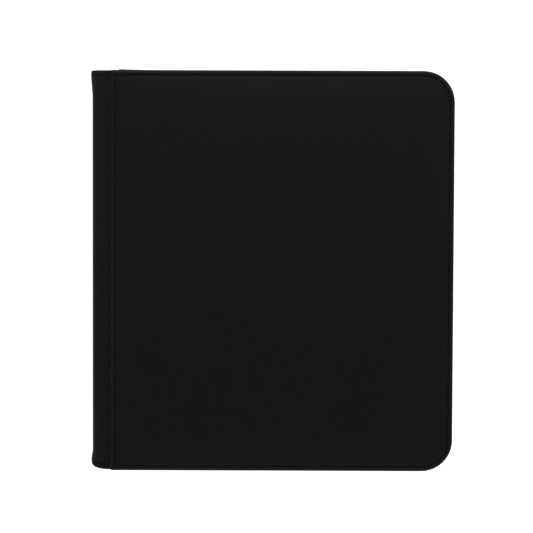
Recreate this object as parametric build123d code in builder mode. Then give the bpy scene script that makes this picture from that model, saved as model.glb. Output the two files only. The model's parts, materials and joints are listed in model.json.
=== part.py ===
"""Zip-around binder for trading cards: padded covers, a hinged spine, a zip wall and pocket leaves.

The binder lies closed on its back cover. The spine is at -X, the fore-edge at +X, the head at +Y
and the front cover on top. The origin is under the middle of the back cover. Lengths are in
millimetres.
"""

import os

from build123d import *

# Cutting shapes and joined shapes run past each other by this much
OVERLAP = 1.0

# Closed size
WIDTH = 320.0
HEIGHT = 355.0
THICKNESS = 42.0
FORE_CORNER_RADIUS = 27.5
MIDDLE = Plane.XY.offset(THICKNESS / 2)

# Layers of a cover, from the inside out
LINING = 0.8
BOARD = 1.8
SKIN = 1.0
STRIP = 0.8
COVER_AT_EDGE = 4.0
CROWN_RISE = 1.8
CROWN_RUN = 13.0

# Where the cover's pieces end beside the spine
SPINE_SIDE = -WIDTH / 2
COVER_START = SPINE_SIDE + 6.8
STRIP_START = SPINE_SIDE + 6.3
PANEL_START = SPINE_SIDE + 15.8
STRIP_TONGUE_END = PANEL_START + 8.0

# Spine: the skin turns round each hinge line with this outer radius
FOLD_RADIUS = 3.0
SPINE_BOARD = 2.0
SPINE_CLEARANCE = 0.6

# Stitching
STITCH_INSET = 4.35
THREAD_WIDTH = 0.7
THREAD_HEIGHT = 0.55
THREAD_DEPTH = 0.45
GROOVE_SIDE = 0.1

# Zip wall, between the two covers round the three open sides
WALL_INSET = 3.6
GUSSET = 1.0
GUSSET_REACH = 9.2
TAPE = 0.6
TAPE_LAP = 3.0
TEETH_HEIGHT = 1.2
TEETH_DEPTH = 2.0
TEETH_GAP = 0.8
WALL_START = SPINE_SIDE + 10.0
TEETH_START = SPINE_SIDE + 17.5
STOP_LENGTH = 2.0

# Zip slider and pull
SLIDER_START = SPINE_SIDE + 21.4
SLIDER_LENGTH = 16.6
SLIDER_WIDTH = 11.0
SLIDER_PLATE = 1.3
SLIDER_CLEARANCE = 0.3
SLIDER_WEB = 0.5
SLIDER_CORNER_RADIUS = 2.0
LIP = 0.8
LIP_SETBACK = 2.5
PIN_RADIUS = 0.6
PIN_CLEARANCE = 0.1
KNUCKLE_RADIUS = 1.5
KNUCKLE_WIDTH = 5.4
EAR = 1.2
EAR_GAP = 0.2
EAR_RADIUS = 1.3
EAR_ROOT = 0.2
PULL_LENGTH = 52.8
PULL_WIDTH = 10.0
PULL_TIP_RADIUS = 3.5
PULL_TIP_CLEARANCE = 0.2
PULL_BELOW_PIN = 0.9
NECK_LENGTH = 3.4
NECK_TAPER = 0.9

# Pocket leaves
LEAF_COUNT = 20
LEAF_PITCH = 1.38
LEAF_CORE = 0.3
FILM = 0.12
POCKET_GAP = 0.18
COLUMNS = 4
ROWS = 3
POCKET_WIDTH = 68.0
POCKET_HEIGHT = 100.0
POCKET_WELD = 2.0
COLUMN_SPACE = 3.0
ROW_SPACE = 5.0
LEAF_HEIGHT = 326.0
LEAF_END = 151.0
LEAF_BORDER = 4.0
LEAF_CORNER_RADIUS = 10.0

# Binding: each leaf bends at a crease, and the creases step away from the spine towards the middle
BINDING_STRIP = 0.8
FIRST_CREASE = SPINE_SIDE + 6.6
CREASE_STEP = 1.1
CREASE_GAP = 0.3
SPACER_LENGTH = 1.4

# Levels of the front cover; the back cover is its mirror image
TOP = THICKNESS
EDGE_TOP = TOP - CROWN_RISE
LINING_LOW = EDGE_TOP - COVER_AT_EDGE
BOARD_LOW = LINING_LOW + LINING
BOARD_TOP = BOARD_LOW + BOARD
STRIP_TOP = BOARD_TOP + STRIP
RIM_LOW = LINING_LOW + LINING / 2
HINGE_X = SPINE_SIDE + FOLD_RADIUS
HINGE_Z = STRIP_TOP - FOLD_RADIUS
LOWER_HINGE_Z = THICKNESS - HINGE_Z
HEAD = HEIGHT / 2
ENDS = (("head", 1), ("tail", -1))

os.makedirs("parts", exist_ok=True)
written = []


def save(part, name):
    """Label a finished piece and write it."""
    part.label = name
    export_step(part, f"parts/{name}.step")
    written.append(name)


def cover_plan(inset, start):
    """Plan of a cover: square at the spine, rounded at the fore-edge, pulled in by inset."""
    end = WIDTH / 2 - inset
    with BuildSketch() as plan:
        with Locations(((start + end) / 2, 0)):
            Rectangle(end - start, HEIGHT - 2 * inset)
        fillet(plan.vertices().group_by(Axis.X)[-1], FORE_CORNER_RADIUS - inset)
    return plan.sketch


def band_plan(outer, inner, start):
    """Plan of a U-shaped band between two insets, open towards the spine."""
    outside = cover_plan(outer, start)
    inside = cover_plan(inner, start - OVERLAP)
    with BuildSketch() as plan:
        add(outside)
        add(inside, mode=Mode.SUBTRACT)
    return plan.sketch


def ring_plan(outer, inner):
    """Plan of a closed ring between two insets from the panel's edges."""
    outside = cover_plan(outer, PANEL_START + outer)
    inside = cover_plan(inner, PANEL_START + inner)
    with BuildSketch() as plan:
        add(outside)
        add(inside, mode=Mode.SUBTRACT)
    return plan.sketch


def slab(plan, low, high):
    """A plan given thickness between two heights."""
    with BuildPart() as layer:
        with BuildSketch(Plane.XY.offset(low)):
            add(plan)
        extrude(amount=high - low)
    return layer.part


def crowned(low_inset, start, low, edge, top):
    """A pad with upright sides to the edge height, then a slope up to a flat crown."""
    base = cover_plan(low_inset, start)
    crest = cover_plan(CROWN_RUN, PANEL_START + CROWN_RUN)
    with BuildPart() as pad:
        with BuildSketch(Plane.XY.offset(low)):
            add(base)
        extrude(amount=edge - low)
        with BuildSketch(Plane.XY.offset(edge)):
            add(base)
        with BuildSketch(Plane.XY.offset(top)):
            add(crest)
        loft()
    return pad.part


def save_pair(front, name):
    """Write a front cover piece and its mirror image on the back cover."""
    save(front, f"front_{name}")
    with BuildPart() as back:
        mirror(front, about=MIDDLE)
    save(back.part, f"back_{name}")


# ---------------------------------------------------------------- covers

stack_plan = cover_plan(SKIN, COVER_START)

with BuildPart() as cover_lining:
    add(slab(stack_plan, LINING_LOW, BOARD_LOW))
save_pair(cover_lining.part, "cover_lining")

with BuildPart() as cover_board:
    add(slab(stack_plan, BOARD_LOW, BOARD_TOP))
save_pair(cover_board.part, "cover_board")

with BuildPart() as cover_foam:
    add(crowned(SKIN, STRIP_TONGUE_END, BOARD_TOP, EDGE_TOP - SKIN, TOP - SKIN))
save_pair(cover_foam.part, "cover_foam")

groove_plan = ring_plan(
    STITCH_INSET - THREAD_WIDTH / 2 - GROOVE_SIDE,
    STITCH_INSET + THREAD_WIDTH / 2 + GROOVE_SIDE,
)
thread_low = EDGE_TOP + CROWN_RISE * STITCH_INSET / CROWN_RUN - THREAD_DEPTH

# The panel's skin turns down over the cover's edge, and its spine side sits on the strip
with BuildPart() as cover_skin:
    add(crowned(0, PANEL_START, RIM_LOW, EDGE_TOP, TOP))
    add(slab(cover_plan(SKIN, PANEL_START - OVERLAP), RIM_LOW - OVERLAP, STRIP_TOP), mode=Mode.SUBTRACT)
    add(cover_foam.part, mode=Mode.SUBTRACT)
    add(slab(groove_plan, thread_low, TOP), mode=Mode.SUBTRACT)
save_pair(cover_skin.part, "cover_skin")

# The strip is the spine's leather carried on to the cover, with a tongue under the panel's fold
with BuildPart() as hinge_strip:
    with BuildSketch(Plane.XY.offset(RIM_LOW)):
        with Locations(((STRIP_START + PANEL_START) / 2, 0)):
            Rectangle(PANEL_START - STRIP_START, HEIGHT)
    extrude(amount=STRIP_TOP - RIM_LOW)
    with BuildSketch(Plane.XY.offset(BOARD_TOP)):
        with Locations(((PANEL_START + STRIP_TONGUE_END) / 2, 0)):
            Rectangle(STRIP_TONGUE_END - PANEL_START, HEIGHT - 2 * SKIN)
    extrude(amount=STRIP)
    with BuildSketch(Plane.XY.offset(RIM_LOW)):
        with Locations(((STRIP_START + PANEL_START) / 2, 0)):
            Rectangle(PANEL_START - STRIP_START + OVERLAP, HEIGHT - 2 * SKIN)
    extrude(amount=BOARD_TOP - RIM_LOW, mode=Mode.SUBTRACT)
    with BuildSketch(Plane.XY.offset(STRIP_TOP - THREAD_DEPTH)):
        with Locations(((STRIP_START + PANEL_START) / 2, 0)):
            with GridLocations(1, HEIGHT - 2 * STITCH_INSET, 1, 2):
                Rectangle(PANEL_START - STRIP_START, THREAD_WIDTH + 2 * GROOVE_SIDE)
    extrude(amount=THREAD_DEPTH, mode=Mode.SUBTRACT)
save_pair(hinge_strip.part, "hinge_strip")

thread_plan = ring_plan(STITCH_INSET - THREAD_WIDTH / 2, STITCH_INSET + THREAD_WIDTH / 2)
with BuildPart() as panel_thread:
    add(slab(thread_plan, thread_low, thread_low + THREAD_HEIGHT))
save_pair(panel_thread.part, "panel_thread")

for end, way in ENDS:
    with BuildPart() as strip_thread:
        with BuildSketch(Plane.XY.offset(STRIP_TOP - THREAD_DEPTH)):
            with Locations(((STRIP_START + PANEL_START) / 2, way * (HEAD - STITCH_INSET))):
                Rectangle(PANEL_START - STRIP_START, THREAD_WIDTH)
        extrude(amount=THREAD_HEIGHT)
    save_pair(strip_thread.part, f"strip_thread_{end}")

# ---------------------------------------------------------------- spine

# The skin covers the spine's outer face and turns a quarter circle round each hinge line
with BuildPart() as spine_skin:
    with BuildSketch(Plane.XZ.offset(-HEAD)) as profile:
        with Locations((SPINE_SIDE + SKIN / 2, THICKNESS / 2)):
            Rectangle(SKIN, HINGE_Z - LOWER_HINGE_Z)
        with Locations((HINGE_X, HINGE_Z), (HINGE_X, LOWER_HINGE_Z)):
            Circle(FOLD_RADIUS)
        with Locations((HINGE_X, HINGE_Z), (HINGE_X, LOWER_HINGE_Z)):
            Circle(FOLD_RADIUS - SKIN, mode=Mode.SUBTRACT)
        with Locations((HINGE_X + FOLD_RADIUS, THICKNESS / 2)):
            Rectangle(2 * FOLD_RADIUS, THICKNESS, mode=Mode.SUBTRACT)
        with Locations((HINGE_X - (FOLD_RADIUS - SKIN) / 2, THICKNESS / 2)):
            Rectangle(FOLD_RADIUS - SKIN, HINGE_Z - LOWER_HINGE_Z, mode=Mode.SUBTRACT)
    extrude(amount=HEIGHT)
save(spine_skin.part, "spine_skin")


def spine_layer(low, thick, height, reach):
    """An upright layer of the spine, from its outer face x, centred on the binder's middle."""
    with BuildPart() as layer:
        with BuildSketch(Plane.XY.offset(THICKNESS / 2 - height / 2)):
            with Locations((low + thick / 2, 0)):
                Rectangle(thick, 2 * reach)
        extrude(amount=height)
    return layer.part


spine_height = HINGE_Z - LOWER_HINGE_Z
board_x = SPINE_SIDE + SKIN
lining_x = board_x + SPINE_BOARD
strip_x = lining_x + LINING
tab_x = strip_x + BINDING_STRIP
inner_reach = HEAD - SKIN

with BuildPart() as spine_board:
    add(spine_layer(board_x, SPINE_BOARD, spine_height, inner_reach))
save(spine_board.part, "spine_board")

with BuildPart() as spine_lining:
    add(spine_layer(lining_x, LINING, spine_height - SPINE_CLEARANCE, inner_reach))
save(spine_lining.part, "spine_lining")

# ---------------------------------------------------------------- binding of the leaves

leaf_levels = [THICKNESS / 2 + (i - (LEAF_COUNT - 1) / 2) * LEAF_PITCH for i in range(LEAF_COUNT)]
creases = [FIRST_CREASE + CREASE_STEP * min(i, LEAF_COUNT - 1 - i) for i in range(LEAF_COUNT)]
binding_height = LEAF_PITCH * LEAF_COUNT

with BuildPart() as page_binding_strip:
    add(spine_layer(strip_x, BINDING_STRIP, binding_height, LEAF_HEIGHT / 2))
save(page_binding_strip.part, "page_binding_strip")

# Each tab is the fixed root of a leaf's film, and ends just short of its crease
with BuildPart() as page_tabs:
    for level, crease in zip(leaf_levels, creases):
        tab_length = crease - CREASE_GAP - tab_x
        with BuildSketch(Plane.XY.offset(level - LEAF_CORE / 2)):
            with Locations((tab_x + tab_length / 2, 0)):
                Rectangle(tab_length, LEAF_HEIGHT)
        extrude(amount=LEAF_CORE)
save(page_tabs.part, "page_tabs")

with BuildPart() as binding_spacers:
    for level in leaf_levels[:-1]:
        with BuildSketch(Plane.XY.offset(level + LEAF_CORE / 2)):
            with Locations((tab_x + SPACER_LENGTH / 2, 0)):
                Rectangle(SPACER_LENGTH, LEAF_HEIGHT)
        extrude(amount=LEAF_PITCH - LEAF_CORE)
save(binding_spacers.part, "binding_spacers")

# ---------------------------------------------------------------- leaves

pockets_end = LEAF_END - LEAF_BORDER
pockets_start = pockets_end - COLUMNS * POCKET_WIDTH - (COLUMNS - 1) * COLUMN_SPACE
pockets_middle = (pockets_start + pockets_end) / 2
column_pitch = POCKET_WIDTH + COLUMN_SPACE
row_pitch = POCKET_HEIGHT + ROW_SPACE
pad_height = LEAF_CORE / 2 + POCKET_GAP + FILM

# Twelve side-loading pockets on each face: film welded on three sides, open towards the spine
with BuildPart() as pocket_panel:
    with BuildSketch() as page:
        with Locations(((pockets_start + LEAF_END) / 2, 0)):
            Rectangle(LEAF_END - pockets_start, LEAF_HEIGHT)
        fillet(page.vertices().group_by(Axis.X)[-1], LEAF_CORNER_RADIUS)
    extrude(amount=LEAF_CORE / 2, both=True)
    with BuildSketch():
        with Locations((pockets_middle, 0)):
            with GridLocations(column_pitch, row_pitch, COLUMNS, ROWS):
                Rectangle(POCKET_WIDTH, POCKET_HEIGHT)
    extrude(amount=pad_height, both=True)
    for face_plane in (Plane.XY.offset(LEAF_CORE / 2), Plane.XY.offset(-LEAF_CORE / 2 - POCKET_GAP)):
        with BuildSketch(face_plane):
            with Locations((pockets_middle - POCKET_WELD / 2, 0)):
                with GridLocations(column_pitch, row_pitch, COLUMNS, ROWS):
                    Rectangle(POCKET_WIDTH - POCKET_WELD, POCKET_HEIGHT - 2 * POCKET_WELD)
        extrude(amount=POCKET_GAP, mode=Mode.SUBTRACT)

for number, (level, crease) in enumerate(zip(leaf_levels, creases), start=1):
    with BuildPart() as leaf:
        with Locations((0, 0, level)):
            add(pocket_panel.part)
        with BuildSketch(Plane.XY.offset(level - LEAF_CORE / 2)):
            with Locations(((crease + pockets_start) / 2, 0)):
                Rectangle(pockets_start - crease, LEAF_HEIGHT)
        extrude(amount=LEAF_CORE)
    save(leaf.part, f"leaf_{number:02d}")

# ---------------------------------------------------------------- zip wall

teeth_low = THICKNESS / 2 + TEETH_GAP / 2
teeth_high = teeth_low + TEETH_HEIGHT
gusset_low = LINING_LOW - GUSSET_REACH
tape_inset = WALL_INSET + GUSSET
teeth_inset = tape_inset + TAPE / 2 - TEETH_DEPTH / 2

with BuildPart() as gusset:
    add(slab(band_plan(WALL_INSET, WALL_INSET + GUSSET, WALL_START), gusset_low, LINING_LOW))
save_pair(gusset.part, "gusset")

with BuildPart() as zip_tape:
    add(slab(band_plan(tape_inset, tape_inset + TAPE, WALL_START), teeth_high, gusset_low + TAPE_LAP))
save_pair(zip_tape.part, "zip_tape")

with BuildPart() as zip_teeth:
    add(slab(band_plan(teeth_inset, teeth_inset + TEETH_DEPTH, TEETH_START), teeth_low, teeth_high))
save_pair(zip_teeth.part, "zip_teeth")

# Clips that end the tooth chain at the head and at the tail, held on the lower half of the chain
lower_teeth_top = THICKNESS / 2 - TEETH_GAP / 2
lower_teeth_low = lower_teeth_top - TEETH_HEIGHT
stop_y = HEAD - teeth_inset - TEETH_DEPTH / 2
for end, way in ENDS:
    with BuildPart() as zip_stop:
        with BuildSketch(Plane.XY.offset(lower_teeth_low)):
            with Locations((TEETH_START - STOP_LENGTH / 2, way * stop_y)):
                Rectangle(STOP_LENGTH, TEETH_DEPTH)
        extrude(amount=TEETH_HEIGHT)
    save(zip_stop.part, f"zip_stop_{end}")

# ---------------------------------------------------------------- slider and pull, on the head side

channel_out = HEAD - teeth_inset + SLIDER_CLEARANCE
channel_in = HEAD - teeth_inset - TEETH_DEPTH - SLIDER_CLEARANCE
plate_face = channel_out + SLIDER_PLATE
slider_x = SLIDER_START + SLIDER_LENGTH / 2
slider_low = THICKNESS / 2 - SLIDER_WIDTH / 2
pivot_x = SLIDER_START + KNUCKLE_RADIUS + SLIDER_CLEARANCE
pivot_y = plate_face + SLIDER_CLEARANCE + KNUCKLE_RADIUS
ear_z = KNUCKLE_WIDTH / 2 + EAR_GAP + EAR / 2
tape_out = HEAD - tape_inset
lip_length = SLIDER_LENGTH - 2 * LIP_SETBACK

# The slider grips the lower half of the chain; its upper side is open, so the halves can part
with BuildPart() as zip_slider:
    for near, far in ((channel_in - SLIDER_PLATE, channel_in), (channel_out, plate_face)):
        with BuildSketch(Plane.XY.offset(slider_low)):
            with Locations((slider_x, (near + far) / 2)):
                Rectangle(SLIDER_LENGTH, far - near)
        extrude(amount=SLIDER_WIDTH)
    plate_edges = zip_slider.edges().filter_by(Axis.Y)
    fillet(plate_edges, SLIDER_CORNER_RADIUS)
    with BuildSketch(Plane.XY.offset(THICKNESS / 2 - SLIDER_WEB / 2)):
        with Locations((slider_x, (channel_in + channel_out) / 2)):
            Rectangle(SLIDER_LENGTH / 3, channel_out - channel_in)
    extrude(amount=SLIDER_WEB)
    with BuildSketch(Plane.XY.offset(slider_low)):
        with Locations((slider_x, (channel_out + tape_out + SLIDER_CLEARANCE) / 2)):
            Rectangle(lip_length, channel_out - tape_out - SLIDER_CLEARANCE)
        with Locations((slider_x, (channel_in + tape_out - TAPE - SLIDER_CLEARANCE) / 2)):
            Rectangle(lip_length, tape_out - TAPE - SLIDER_CLEARANCE - channel_in)
    extrude(amount=LIP)
    for ear_side in (-1, 1):
        with BuildSketch(Plane.XY.offset(THICKNESS / 2 + ear_side * ear_z - EAR / 2)):
            with Locations((pivot_x, pivot_y)):
                Circle(EAR_RADIUS)
            with Locations((pivot_x, (plate_face + pivot_y - EAR_ROOT) / 2)):
                Rectangle(2 * EAR_RADIUS, pivot_y - plate_face + EAR_ROOT)
            with Locations((pivot_x, pivot_y)):
                Circle(PIN_RADIUS, mode=Mode.SUBTRACT)
        extrude(amount=EAR)
save(zip_slider.part, "zip_slider")

with BuildPart() as zip_pull_pin:
    with BuildSketch(Plane.XY.offset(THICKNESS / 2)):
        with Locations((pivot_x, pivot_y)):
            Circle(PIN_RADIUS)
    extrude(amount=ear_z + EAR / 2, both=True)
save(zip_pull_pin.part, "zip_pull_pin")

# The pull lies along the wall towards the fore-edge and thins out towards its tip
pull_end = pivot_x + PULL_LENGTH
neck_end = pivot_x + NECK_LENGTH
neck_join = neck_end + OVERLAP
pull_root_low = pivot_y - PULL_BELOW_PIN
pull_tip_low = plate_face + PULL_TIP_CLEARANCE
pull_tip_high = pivot_y
with BuildPart() as zip_pull:
    with BuildSketch(Plane.XY.offset(THICKNESS / 2)):
        with BuildLine():
            Polyline(
                (pivot_x, pivot_y + KNUCKLE_RADIUS),
                (pull_end, pull_tip_high),
                (pull_end, pull_tip_low),
                (pivot_x, pull_root_low),
                close=True,
            )
        make_face()
    extrude(amount=PULL_WIDTH / 2, both=True)
    with BuildSketch(Plane.XY.offset(THICKNESS / 2)):
        with Locations((neck_end - NECK_LENGTH, pivot_y)):
            Rectangle(2 * NECK_LENGTH, 4 * KNUCKLE_RADIUS)
    extrude(amount=PULL_WIDTH, both=True, mode=Mode.SUBTRACT)
    with BuildSketch(Plane.XY.offset(THICKNESS / 2)):
        with BuildLine():
            Polyline(
                (pivot_x, pivot_y + KNUCKLE_RADIUS),
                (neck_join, pivot_y + KNUCKLE_RADIUS * NECK_TAPER),
                (neck_join, pull_root_low),
                (pivot_x, pull_root_low),
                close=True,
            )
        make_face()
        with Locations((pivot_x, pivot_y)):
            Circle(KNUCKLE_RADIUS)
    extrude(amount=KNUCKLE_WIDTH / 2, both=True)
    tip_edges = zip_pull.edges().filter_by(Axis.Y).group_by(Axis.X)[-1]
    fillet(tip_edges, PULL_TIP_RADIUS)
    with BuildSketch(Plane.XY.offset(THICKNESS / 2)):
        with Locations((pivot_x, pivot_y)):
            Circle(PIN_RADIUS + PIN_CLEARANCE)
    extrude(amount=PULL_WIDTH, both=True, mode=Mode.SUBTRACT)
save(zip_pull.part, "zip_pull")

print("pieces", len(written))
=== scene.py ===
"""Looks of a zip-around trading card binder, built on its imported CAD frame. Lengths are in metres.

The binder lies closed on its back cover: spine at -X, fore-edge at +X, head at +Y, front cover up.
The back cover's pieces are the front cover's, mirrored about the middle plane.
"""

import json
import math
import random

import bmesh
import bpy
import numpy as np
from mathutils import Matrix, Vector


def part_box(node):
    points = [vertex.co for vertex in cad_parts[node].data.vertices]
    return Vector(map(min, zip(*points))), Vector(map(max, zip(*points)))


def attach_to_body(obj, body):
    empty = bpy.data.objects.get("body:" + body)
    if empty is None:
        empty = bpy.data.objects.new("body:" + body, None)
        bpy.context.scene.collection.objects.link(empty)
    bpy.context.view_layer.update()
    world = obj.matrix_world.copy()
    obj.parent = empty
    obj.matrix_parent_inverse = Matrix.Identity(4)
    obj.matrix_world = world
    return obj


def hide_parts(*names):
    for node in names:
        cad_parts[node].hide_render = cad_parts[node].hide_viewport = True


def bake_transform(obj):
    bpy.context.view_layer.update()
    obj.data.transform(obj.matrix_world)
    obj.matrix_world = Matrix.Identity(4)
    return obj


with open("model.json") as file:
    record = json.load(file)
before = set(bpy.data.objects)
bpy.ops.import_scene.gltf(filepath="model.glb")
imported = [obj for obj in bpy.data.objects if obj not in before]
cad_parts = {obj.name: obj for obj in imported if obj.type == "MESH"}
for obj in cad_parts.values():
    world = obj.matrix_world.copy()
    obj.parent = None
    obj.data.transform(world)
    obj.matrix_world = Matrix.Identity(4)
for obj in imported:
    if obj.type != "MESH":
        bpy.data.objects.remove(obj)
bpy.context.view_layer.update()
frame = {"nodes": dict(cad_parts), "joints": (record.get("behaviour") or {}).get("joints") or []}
scene = bpy.context.scene

MM = 0.001
SIDES = ("front", "back")
ENDS = (("head", 1), ("tail", -1))
LEAVES = sorted(name for name in frame["nodes"] if name.startswith("leaf_"))

# Places read from the frame
panel_low, panel_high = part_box("front_cover_skin")
lining_low, lining_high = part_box("front_cover_lining")
board_low, board_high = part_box("front_cover_board")
strip_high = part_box("front_hinge_strip")[1]
spine_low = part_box("spine_skin")[0]
gusset_low, gusset_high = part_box("front_gusset")
tape_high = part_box("front_zip_tape")[1]
teeth_low, teeth_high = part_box("front_zip_teeth")
stop_low, stop_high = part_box("zip_stop_head")
slider_low, slider_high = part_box("zip_slider")
pull_low, pull_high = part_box("zip_pull")
pin_low, pin_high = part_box("zip_pull_pin")
binding_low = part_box("page_binding_strip")[0]
joints = {joint["name"]: joint for joint in frame["joints"]}

TOP = panel_high.z
MIDDLE = TOP / 2
HALF_HEIGHT = panel_high.y
FORE_EDGE = panel_high.x
SEAM = panel_low.x
SPINE_FACE = spine_low.x
STRIP_TOP = strip_high.z
HINGE = Vector(joints["front_cover_hinge"]["pos_m"])
FOLD_RADIUS = HINGE.x - SPINE_FACE
FORE_RADIUS = 27.5 * MM
SEAM_RADIUS = 1.4 * MM
MIN_RADIUS = 4.0 * MM

# Stitching
STITCH_INSET = 4.35 * MM
STITCH_PITCH = 3.36 * MM
STITCH_LENGTH = 1.75 * MM
THREAD_RADIUS = 0.48 * MM
PIT_SHARE = 0.95
# Width of the painted shade on the spine's leather beside the panel's edge
SEAM_SHADE_WIDTH = 11.0 * MM


# ---- node helpers


class Surface:
    """A material with a Principled shader, and short ways to add and join nodes."""

    def __init__(self, name):
        self.material = bpy.data.materials.new(name)
        self.material.use_nodes = True
        self.tree = self.material.node_tree
        self.tree.nodes.clear()
        self.shader = self.add("ShaderNodeBsdfPrincipled")
        self.add("ShaderNodeOutputMaterial", {"Surface": self.shader.outputs[0]})
        self.plain = self.place()

    def add(self, kind, inputs=None, **settings):
        node = self.tree.nodes.new(kind)
        for key, value in settings.items():
            setattr(node, key, value)
        for key, value in (inputs or {}).items():
            self.put(node.inputs[key], value)
        return node

    def put(self, socket, value):
        """Feed a socket from another one or with a constant; a colour gets its alpha here."""
        if isinstance(value, bpy.types.NodeSocket):
            self.tree.links.new(value, socket)
        else:
            socket.default_value = (*value, 1) if socket.type == "RGBA" else value

    def set(self, **values):
        for key, value in values.items():
            self.put(self.shader.inputs[key.replace("_", " ")], value)

    def math(self, operation, first, second=0.0):
        return self.add("ShaderNodeMath", {0: first, 1: second}, operation=operation).outputs[0]

    def ramp(self, value, low, high, to_low=0.0, to_high=1.0, smooth=False):
        """Map a value from one range to another, clamped."""
        inputs = dict(enumerate((value, low, high, to_low, to_high)))
        kind = "SMOOTHSTEP" if smooth else "LINEAR"
        return self.add("ShaderNodeMapRange", inputs, interpolation_type=kind).outputs[0]

    def mix(self, factor, first, second):
        """Mix two colours."""
        return self.add("ShaderNodeMix", {0: factor, 6: first, 7: second}, data_type="RGBA").outputs[2]

    def place(self, scale=(1, 1, 1)):
        """Object coordinates, in metres, scaled."""
        metres = self.add("ShaderNodeTexCoord").outputs["Object"]
        return self.add("ShaderNodeMapping", {"Vector": metres, "Scale": scale}).outputs[0]

    def noise(self, vector, scale, detail=2.0, roughness=0.5):
        inputs = {"Vector": vector, "Scale": scale, "Detail": detail, "Roughness": roughness}
        return self.add("ShaderNodeTexNoise", inputs).outputs[0]

    def cells(self, vector, scale, randomness, **settings):
        inputs = {"Vector": vector, "Scale": scale, "Randomness": randomness}
        return self.add("ShaderNodeTexVoronoi", inputs, **settings).outputs["Distance"]

    def bump(self, height, depth, strength=1.0):
        """Bump whose height of 1 stands depth metres proud."""
        node = self.add("ShaderNodeBump", {"Height": height, "Distance": depth, "Strength": strength})
        self.put(self.shader.inputs["Normal"], node.outputs[0])


# ---- materials


def leather(name, lift=1.0, holes=False, painted_seam_shade=False):
    """Black leather with a fine diagonal cross-grain.

    Its seams have stitch pits along the seam UV map, sunk by bump and darkened in colour as painted shade,
    with a painted highlight on the band along the stitching; it may also have painted shade in the crease at
    the panel's edge.
    """
    s = Surface(name)
    hide = s.add("ShaderNodeUVMap", uv_map="grain")
    diagonal = s.add("ShaderNodeMapping", {"Vector": hide.outputs[0], "Rotation": (0, 0, math.radians(45))})
    flat = {"distance": "CHEBYCHEV", "voronoi_dimensions": "2D"}
    lozenges = s.cells(diagonal.outputs[0], 690.0, 0.20, **flat)
    grain = s.ramp(lozenges, 0.20, 0.50, 1.0, 0.0, smooth=True)
    fine = s.noise(s.plain, 2600.0, 3.0, 0.6)
    patches = s.noise(s.plain, 22.0, 3.0, 0.55)
    height = s.math("ADD", grain, s.math("MULTIPLY", fine, 0.35))
    dark = (0.0013 * lift, 0.0012 * lift, 0.0020 * lift)
    light = (0.0034 * lift, 0.0029 * lift, 0.0046 * lift)
    colour = s.mix(grain, dark, light)
    colour = s.mix(s.ramp(patches, 0.3, 0.7, 0.0, 0.10), colour, dark)
    roughness = s.math("ADD", s.ramp(patches, 0.3, 0.7, 0.45, 0.47), s.ramp(fine, 0.3, 0.7, -0.03, 0.05))
    if holes:
        seam = s.add("ShaderNodeUVMap", uv_map="seam")
        parts = s.add("ShaderNodeSeparateXYZ", {"Vector": seam.outputs[0]})
        along = s.math("FRACT", s.math("DIVIDE", parts.outputs[0], STITCH_PITCH))
        along = s.math("MULTIPLY", s.math("SUBTRACT", along, 0.5), STITCH_PITCH * PIT_SHARE)
        across = s.math("SUBTRACT", parts.outputs[1], STITCH_INSET)
        squares = s.math("ADD", s.math("MULTIPLY", along, along), s.math("MULTIPLY", across, across))
        distance = s.math("SQRT", squares)
        # Stitch pits: sunk by the bump below, and their colour darkened almost to black as painted shade
        pit_and_painted_shade = s.ramp(distance, 0.84 * MM, 1.12 * MM, 1.0, 0.0, smooth=True)
        if painted_seam_shade:
            # Painted shade beside the panel's edge, darkest at the edge and gone 11 mm from it
            crease = s.ramp(parts.outputs[0], 0.0, SEAM_SHADE_WIDTH, 0.75, 0.0)
            colour = s.mix(crease, colour, (0.0005, 0.0005, 0.0007))
        # Painted highlight: a lighter band along the stitching, showing between the darkened pits
        painted_puff_highlight = s.ramp(s.math("ABSOLUTE", across), 0.8 * MM, 1.3 * MM, 0.16, 0.0, smooth=True)
        colour = s.mix(painted_puff_highlight, colour, (0.0135, 0.0124, 0.0162))
        colour = s.mix(pit_and_painted_shade, colour, (0.0003, 0.0003, 0.0004))
        roughness = s.math("ADD", roughness, s.math("MULTIPLY", pit_and_painted_shade, 0.5))
        height = s.math("SUBTRACT", height, s.math("MULTIPLY", pit_and_painted_shade, 3.0))
    s.set(Base_Color=colour, Roughness=roughness, Specular_IOR_Level=0.14)
    s.bump(height, 0.11 * MM, 0.8)
    return s.material


def thread():
    """Waxed black thread with a fine lay."""
    s = Surface("thread")
    lay = s.noise(s.plain, 5200.0, 2.0, 0.6)
    tone = s.noise(s.plain, 120.0, 2.0)
    colour = s.mix(s.ramp(tone, 0.3, 0.7), (0.0004, 0.0004, 0.0005), (0.0010, 0.0009, 0.0012))
    s.set(Base_Color=colour, Roughness=s.ramp(lay, 0.2, 0.8, 0.6, 0.8), Specular_IOR_Level=0.02)
    s.bump(lay, 0.08 * MM)
    return s.material


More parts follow.
